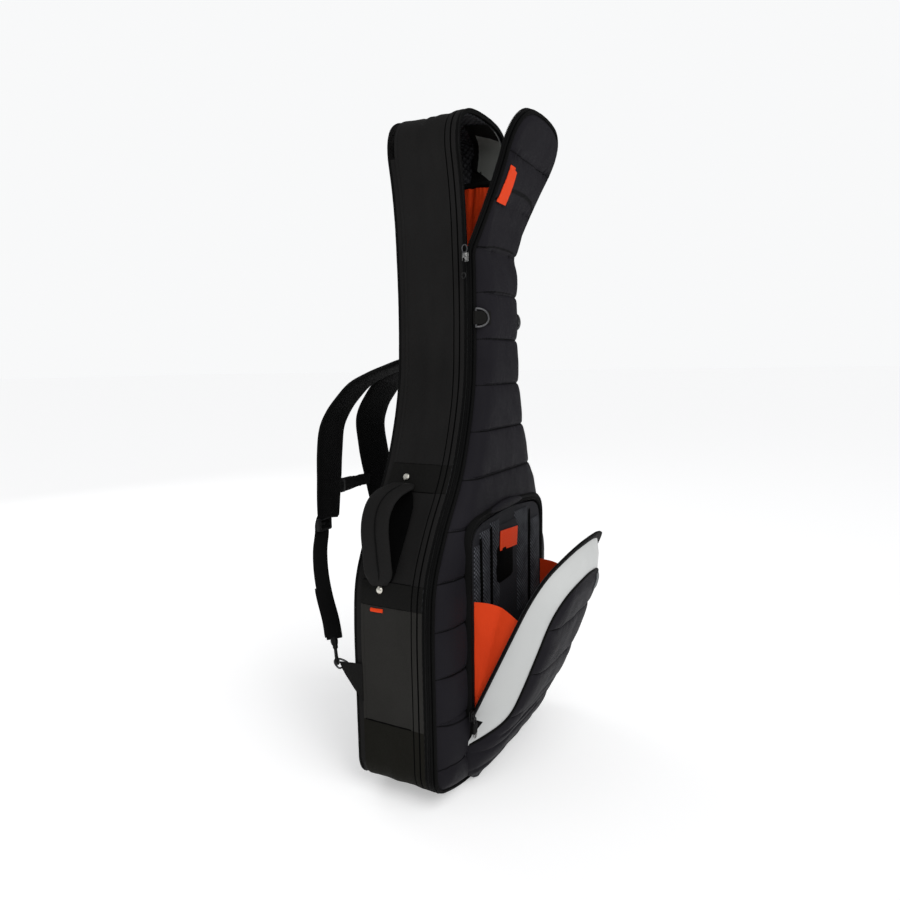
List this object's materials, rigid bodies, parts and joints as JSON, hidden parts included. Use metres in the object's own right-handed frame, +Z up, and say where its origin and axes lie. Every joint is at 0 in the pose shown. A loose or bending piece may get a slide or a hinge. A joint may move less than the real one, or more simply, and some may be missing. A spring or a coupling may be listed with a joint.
{
  "type": "guitar gig bag",
  "caption": "Padded gig bag for an acoustic guitar, standing on its base, with a zipped quilted lid, folded head flap, domed front pocket, side handle and shoulder straps.",
  "frame": {"origin": "centre of the flat base that the bag stands on", "axes": "+Z up to the head, front and pocket face -Y, straps on the +Y side, +X to the right seen from the front"},
  "size_m": [0.483, 0.5076, 1.134],
  "materials": {
    "nylon": "quilted satin nylon, black",
    "neck_fabric": "plain woven nylon, brown black",
    "side_canvas": "ribbed canvas, dark grey",
    "boot_canvas": "coated canvas, black",
    "webbing": "woven webbing and tape, black",
    "strap_fabric": "padded mesh fabric, black",
    "lining": "embossed lining, dark grey",
    "orange_fabric": "plain nylon, orange",
    "coated_band": "coated fabric, light grey",
    "ring_metal": "dark nickel",
    "rivet_metal": "satin nickel",
    "slider_metal": "nickel",
    "black_plastic": "moulded, black"
  },
  "bodies": {
    "shell": {"back_panel": "nylon", "boot": "boot_canvas", "neck_wall": "neck_fabric", "lower_wall_left": "side_canvas", "lower_wall_right": "side_canvas", "lower_band": "webbing", "handle_wall_left": "side_canvas", "upper_band": "webbing", "handle_wall_right": "side_canvas", "back_piping": "webbing", "zip_tape": "webbing", "back_lining": "lining", "rivet_top": "rivet_metal", "rivet_bottom": "rivet_metal", "neck_cradle": "lining", "head_sleeve": "orange_fabric", "yoke": "webbing", "back_pad": "nylon", "rear_tab_left": "webbing", "rear_tab_right": "webbing", "rear_ring_left": "ring_metal", "rear_ring_right": "ring_metal"},
    "lid": {"lid_panel": "nylon", "lid_gusset": "webbing", "lid_piping": "webbing", "ring_tab_left": "webbing", "ring_tab_right": "webbing", "pocket_organizer": "lining", "pocket_track": "webbing", "pouch_front": "nylon", "pouch_cheek_left": "nylon", "pouch_cheek_right": "nylon", "pocket_gusset_left": "orange_fabric", "pocket_gusset_right": "orange_fabric"},
    "head_flap": {"head_panel": "nylon", "head_gusset": "webbing", "head_piping": "webbing"},
    "pocket_flap": {"pocket_border": "coated_band", "pocket_front": "nylon", "pocket_tape": "webbing"},
    "harness": {"shoulder_strap_left": "strap_fabric", "strap_webbing_left": "webbing", "ladder_lock_left": "black_plastic", "shoulder_strap_right": "strap_fabric", "strap_webbing_right": "webbing", "ladder_lock_right": "black_plastic", "sternum_strap": "webbing", "sternum_buckle": "black_plastic"},
    "hook_left": {"snap_hook_left": "ring_metal"},
    "hook_right": {"snap_hook_right": "ring_metal"},
    "neck_ring_left": {"neck_ring_left": "ring_metal"},
    "neck_ring_right": {"neck_ring_right": "ring_metal"},
    "handle": {"side_handle": "webbing"},
    "slider_left": {"zip_slider_left": "slider_metal"},
    "slider_right": {"zip_slider_right": "slider_metal"},
    "pull_left": {"zip_pull_left": "slider_metal"},
    "pull_right": {"zip_pull_right": "slider_metal"},
    "pocket_slider": {"pocket_slider": "black_plastic"},
    "pocket_pull": {"pocket_pull": "black_plastic"},
    "neck_strap": {"neck_strap": "webbing"}
  },
  "joints": [
    {"name": "lid_hinge", "type": "hinge", "parent": "shell", "child": "lid", "pos_m": [0, -0.061, 0], "axis": [1, 0, 0], "range_deg": [0, 90]},
    {"name": "head_flap_fold", "type": "hinge", "parent": "lid", "child": "head_flap", "pos_m": [0, -0.094, 0.895], "axis": [1, 0, 0], "range_deg": [-23, 87]},
    {"name": "pocket_fold", "type": "hinge", "parent": "lid", "child": "pocket_flap", "pos_m": [0, -0.102, 0.144], "axis": [1, 0, 0], "range_deg": [-25.8, 0], "deforming": ["pocket_gusset_left", "pocket_gusset_right"]},
    {"name": "harness_swing", "type": "hinge", "parent": "shell", "child": "harness", "pos_m": [0, 0.08, 0.722], "axis": [1, 0, 0], "range_deg": [0, 60]},
    {"name": "hook_swivel_left", "type": "hinge", "parent": "harness", "child": "hook_left", "pos_m": [-0.205, 0.138, 0.2375], "axis": [-0.7205, -0.4903, -0.4903], "range_deg": [-10, 10]},
    {"name": "hook_swivel_right", "type": "hinge", "parent": "harness", "child": "hook_right", "pos_m": [0.205, 0.138, 0.2375], "axis": [0.7205, -0.4903, -0.4903], "range_deg": [-10, 10]},
    {"name": "neck_ring_left_turn", "type": "hinge", "parent": "lid", "child": "neck_ring_left", "pos_m": [-0.078, -0.078, 0.791], "axis": [0, 0, 1], "range_deg": [-140, 0]},
    {"name": "neck_ring_right_turn", "type": "hinge", "parent": "lid", "child": "neck_ring_right", "pos_m": [0.078, -0.078, 0.791], "axis": [0, 0, 1], "range_deg": [-120, 50]},
    {"name": "handle_swing", "type": "hinge", "parent": "shell", "child": "handle", "pos_m": [-0.152, 0.026, 0.514], "axis": [-0.4925, 0, -0.8703], "range_deg": [-15, 20]},
    {"name": "slider_left_travel", "type": "slide", "parent": "shell", "child": "slider_left", "axis": [0, 0, 1], "range_m": [-0.12, 0]},
    {"name": "slider_right_travel", "type": "slide", "parent": "shell", "child": "slider_right", "axis": [0, 0, 1], "range_m": [-0.12, 0]},
    {"name": "pull_left_swing", "type": "hinge", "parent": "slider_left", "child": "pull_left", "pos_m": [-0.0874, -0.061, 0.887], "axis": [0, 1, 0], "range_deg": [0, 120]},
    {"name": "pull_right_swing", "type": "hinge", "parent": "slider_right", "child": "pull_right", "pos_m": [0.0874, -0.061, 0.887], "axis": [0, 1, 0], "range_deg": [-120, 0]},
    {"name": "pocket_slider_travel", "type": "slide", "parent": "lid", "child": "pocket_slider", "axis": [0, 0, 1], "range_m": [0, 0.22]},
    {"name": "pocket_pull_swing", "type": "hinge", "parent": "pocket_slider", "child": "pocket_pull", "pos_m": [-0.164, -0.1105, 0.142], "axis": [1, 0, 0], "range_deg": [-120, 0]},
    {"name": "neck_strap_swing", "type": "hinge", "parent": "shell", "child": "neck_strap", "pos_m": [-0.046, 0.0025, 0.822], "axis": [0, 0, 1], "range_deg": [-50, 0]}
  ]
}
